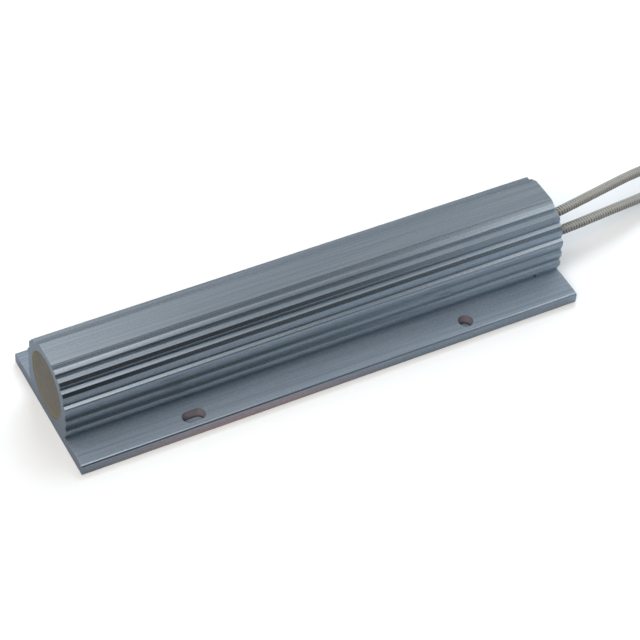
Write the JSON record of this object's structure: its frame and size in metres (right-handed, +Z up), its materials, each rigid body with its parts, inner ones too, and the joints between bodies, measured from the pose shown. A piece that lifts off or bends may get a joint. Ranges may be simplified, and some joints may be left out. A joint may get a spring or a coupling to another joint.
{
  "type": "aluminium housed power resistor",
  "caption": "Finned extruded aluminium housing on a flanged base with mounting holes, a sealed wirewound element in its bore and flexible insulated leads at one end.",
  "frame": {"origin": "middle of the base's underside, on the mounting face", "axes": "+X along the extrusion towards the lead end, +Y across the base away from the side lead, +Z up from the mounting face to the flat crown"},
  "size_m": [0.4217, 0.0779, 0.0387],
  "materials": {
    "extruded_aluminium": "natural satin extrusion",
    "steatite": "unglazed fired",
    "resistance_wire": "bare drawn wire",
    "plated_steel": "nickel plated",
    "glass_sleeving": "varnished woven glass",
    "tinned_copper": "solder tinned",
    "moulding_compound": "cast filled silicone",
    "seal_compound": "cast, matt, grey brown",
    "braided_insulation": "braided glass fibre over silicone"
  },
  "bodies": {
    "root": {"housing": "extruded_aluminium", "ceramic_former": "steatite", "resistance_winding": "resistance_wire", "plain_end_cap": "plated_steel", "lead_end_cap": "plated_steel", "return_rod": "plated_steel", "return_rod_sleeve": "glass_sleeving", "lead_tag": "plated_steel", "centre_ferrule": "plated_steel", "side_ferrule": "plated_steel", "centre_lead_strands": "tinned_copper", "side_lead_strands": "tinned_copper", "moulding": "moulding_compound", "plain_end_seal": "seal_compound", "lead_end_seal": "seal_compound", "centre_lead": "braided_insulation", "centre_lead_coil": "braided_insulation", "centre_lead_tinned_end": "tinned_copper", "side_lead": "braided_insulation", "side_lead_coil": "braided_insulation", "side_lead_tinned_end": "tinned_copper"}
  },
  "joints": []
}
